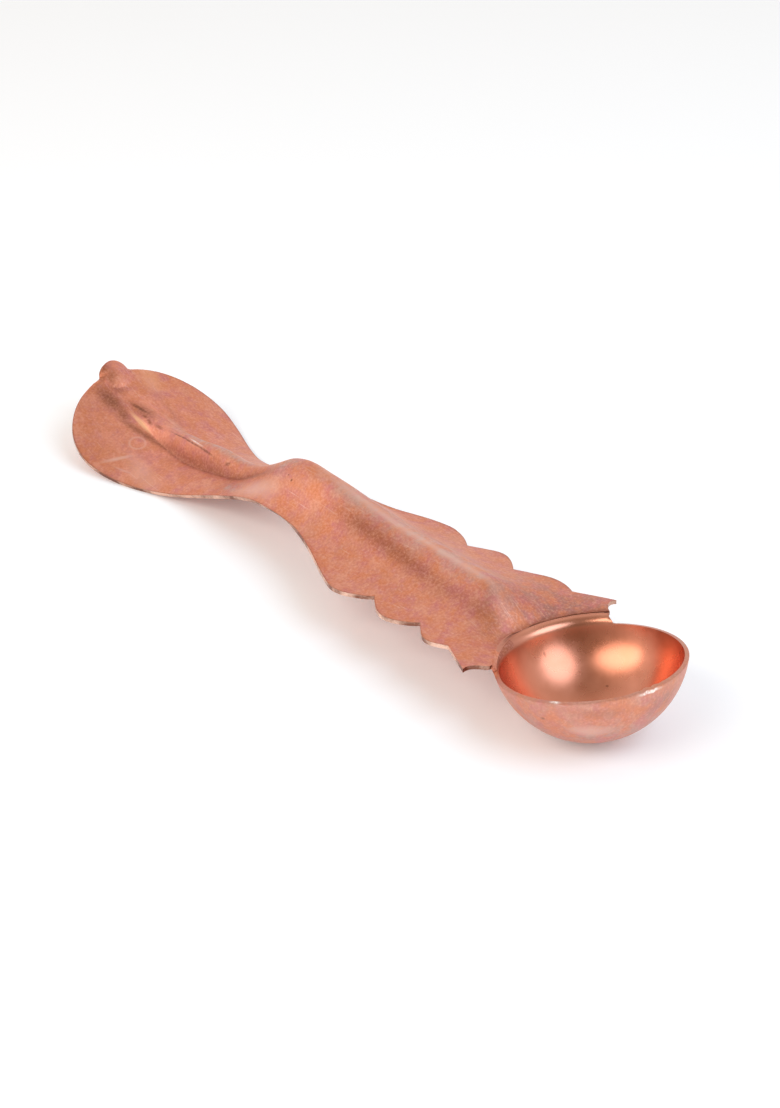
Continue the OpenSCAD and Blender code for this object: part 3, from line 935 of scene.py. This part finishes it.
def bandAt(t, y):
    a, b = wear["bandStart"]
    pastShoulder, pastNeck = wear["bandStop"]
    away = mix(wear["bandOut"], wear["bandAway"], rise(notchB, shoulder + pastShoulder, t))
    band = fade(abs(y) - away, wear["bandWide"]) * (1 if y < 0 else wear["bandFar"])
    band *= mix(*wear["band"], rise(notchB, notchC + wear["bandFull"], t))
    band *= rise(notchA + a, notchA + b, t)
    return band * (1 - rise(shoulder + pastShoulder, neck + pastNeck, t))


def sootAt(t, y):
    soot = wear["soot"] * fade(math.hypot(t, y) - jointAt, wear["sootWide"])
    return soot * rise(*wear["sootTurn"], math.degrees(math.atan2(y, t)))


def heatAt(t, y):
    left = 1 - rise(0, wear["heatLong"], math.hypot(t, y) - jointAt)
    return wear["heatTintAndShade"] * left * rise(*wear["heatSide"], y)


bpy.ops.object.select_all(action="DESELECT")
rowCount, colCount = rootRows + len(rows), 2 * sideCols
bpy.ops.mesh.primitive_grid_add(x_subdivisions=rowCount, y_subdivisions=colCount, size=2)
handleSheet = bpy.context.object
handleSheet.name = "handle_sheet"
painted = {kind: [] for kind in ("rubbed", "ash", "dirt", "mauve")}
for point in handleSheet.data.vertices:
    row = round((1 - point.co.x) / 2 * rowCount)
    col = round((1 + point.co.y) / 2 * colCount) - sideCols
    t, y, spot = blankPlace(row, col)
    point.co = (spot + Vector((bowlX, 0, 0))) * mm
    onOutline = row > rootRows and (abs(col) == sideCols or row == rowCount)
    edgeDirt = wear["edgeDirt"] if onOutline else 0
    # the crest gets a painted highlight and a wider painted sheen
    painted["rubbed"].append(wear["crestRubbedAndSheen"] * crestAt(t, y, "crestWide"))
    painted["ash"].append(wear["crestPale"] * crestAt(t, y, "paleWide"))
    # dirt, with painted shade at the spine's foot, in the crease and on the outline, and the
    # painted dark reflection band
    painted["dirt"].append(max(footAt(t, y), bandAt(t, y), sootAt(t, y), edgeDirt))
    # heat tint with painted shade towards the crease
    painted["mauve"].append(heatAt(t, y))
paintWear(handleSheet, painted)
for skin in (satinSkin, cutSkin):
    handleSheet.data.materials.append(skin)
applyModifier(handleSheet, "SOLIDIFY", thickness=sheetThick * mm, offset=0.0,
              use_quality_normals=True, material_offset_rim=1)
low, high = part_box("handle")
for point in handleSheet.data.vertices:
    point.co = [max(a, min(b, c)) for a, b, c in zip(low, high, point.co)]
finishPiece(handleSheet, "handle")


# seam: the braze drawn into the crease between lip and handle, wiped flush towards the near end
seam = {
    "wide": 0.3,
    "overlap": 0.25,
    "sunk": 0.12,
    "proud": 0.02,
    "thick": 0.5,
    "reach": 53.0,
    "steps": 72,
    "cols": 8,
    "wiped": (-35, 5),    # degrees from the middle, from wiped flush to left as it was
    "soot": 0.6,
    "sootEdge": 0.4,      # share of the half width where the soot starts to fade
    "bareBelow": 0.02,    # faces with less soot have the handle's skin
}
bpy.ops.object.select_all(action="DESELECT")
bpy.ops.mesh.primitive_grid_add(x_subdivisions=seam["cols"], y_subdivisions=seam["steps"], size=2)
brazeLine = bpy.context.object
brazeLine.name = "braze_line"
sooty = []
for point in brazeLine.data.vertices:
    off, angle = point.co.x, -point.co.y * seam["reach"]
    along = seam["wide"] / 2 + off * (seam["wide"] / 2 + seam["overlap"])
    left = rise(*seam["wiped"], angle)
    sunk = seam["sunk"] * left * (1 - off * off)
    r, z = pastLip(angle, along, sheetThick / 2 + seam["proud"] - sunk)
    point.co = inRimFrame(-r * cosine(angle), r * sine(angle), z) * mm
    sooty.append(seam["soot"] * left * (1 - rise(seam["sootEdge"], 1.0, abs(off))))
paintWear(brazeLine, {"sooty": sooty})
for skin in (brazeSkin, satinSkin):
    brazeLine.data.materials.append(skin)
for face in brazeLine.data.polygons:
    bare = all(sooty[i] < seam["bareBelow"] for i in face.vertices)
    face.material_index = 1 if bare else 0
applyModifier(brazeLine, "SOLIDIFY", thickness=seam["thick"] * mm, offset=-1.0)
finishPiece(brazeLine, "braze_seam")


# studio: white floor, two softboxes and a pale room that is darker behind the camera
studio = {
    "floorColour": "#F4F4F4",
    "floorAcross": 16.0,
    "floorLift": 0.12,    # brings the seen floor up to white
    # direction, size across and along, roll in degrees, brightness, tint
    "boxes": [((0.64, 0.196, 0.743), (0.56, 0.56), 0, 3.6, "#D4E8FF"),
              ((-0.081, -0.773, 0.629), (0.80, 0.36), 35, 3.2, "#FFFBF6")],
    "boxAway": 0.7,
    "darkWay": (0.62, -0.35, 0.70),
    # share of the way round to the dark side, and the wall's colour there
    "room": [(0.50, (1.0, 1.0, 1.0)), (0.64, (0.89, 0.88, 0.87)), (0.74, (0.76, 0.74, 0.71)),
             (0.82, (0.50, 0.45, 0.39)), (0.95, (0.32, 0.27, 0.21))],
    "wallFrom": (0.05, 0.3),   # how high the white floor line gives way to the walls
}
bpy.ops.object.select_all(action="DESELECT")
bpy.ops.mesh.primitive_plane_add(size=studio["floorAcross"])
floor = bpy.context.object
floor.name = "floor"
paper, tree = newMaterial("white_paper")
ray = addNode(tree, "LightPath").outputs
seen = ray["Is Camera Ray"]
for kind in ("Is Glossy Ray", "Is Transmission Ray"):
    seen = addNode(tree, "Math", {"operation": "MAXIMUM"}, {0: seen, 1: ray[kind]}).outputs[0]
lift = addNode(tree, "Math", {"operation": "MULTIPLY", 1: studio["floorLift"]},
               {0: seen}).outputs[0]
paperShader = addNode(tree, "BsdfPrincipled", {
    "Base Color": linear(studio["floorColour"]), "Roughness": 0.9, "Specular IOR Level": 0.0,
    "Emission Color": (1, 1, 1, 1),
}, {"Emission Strength": lift}).outputs[0]
addNode(tree, "OutputMaterial", {}, {"Surface": paperShader})
floor.data.materials.append(paper)

middle = inRimFrame(0, 0, 0) * mm
for way, size, roll, bright, tint in studio["boxes"]:
    way = Vector(way).normalized()
    bpy.ops.object.light_add(type="AREA", location=middle + way * studio["boxAway"])
    box = bpy.context.object
    box.data.shape = "ELLIPSE"
    box.data.color = linear(tint)[:3]
    box.data.size, box.data.size_y = size
    area = size[0] * size[1] * math.pi / 4
    box.data.energy = bright * math.pi * area
    box.rotation_mode = "QUATERNION"
    aim = (-way).to_track_quat("-Z", "Y")
    box.rotation_quaternion = Quaternion(way, math.radians(roll)) @ aim

world = bpy.data.worlds.new("studio_room")
bpy.context.scene.world = world
world.use_nodes = True
tree = world.node_tree
tree.nodes.clear()
toward = addNode(tree, "TexCoord").outputs["Generated"]
darkWay = Vector(studio["darkWay"]).normalized()
facing = addNode(tree, "VectorMath", {"operation": "DOT_PRODUCT", 1: darkWay},
                 {0: toward}).outputs["Value"]
facing = addNode(tree, "MapRange", {"From Min": -1.0}, {"Value": facing}).outputs[0]
room = addNode(tree, "ValToRGB", {"stops": [(place, (*wall, 1)) for place, wall in studio["room"]]},
               {"Fac": facing}).outputs["Color"]
above = addNode(tree, "SeparateXYZ", {}, {0: toward}).outputs["Z"]
above = addNode(tree, "MapRange", {
    "From Min": studio["wallFrom"][0], "From Max": studio["wallFrom"][1],
}, {"Value": above}).outputs[0]
room = addNode(tree, "Mix", {"data_type": "RGBA", 6: (1, 1, 1, 1)}, {0: above, 7: room}).outputs[2]
light = addNode(tree, "Background", {"Strength": 1.0}, {"Color": room}).outputs[0]
addNode(tree, "OutputWorld", {}, {"Surface": light})
bpy.context.scene.view_settings.view_transform = "Standard"
print("studio set")

bpy.context.view_layer.update()
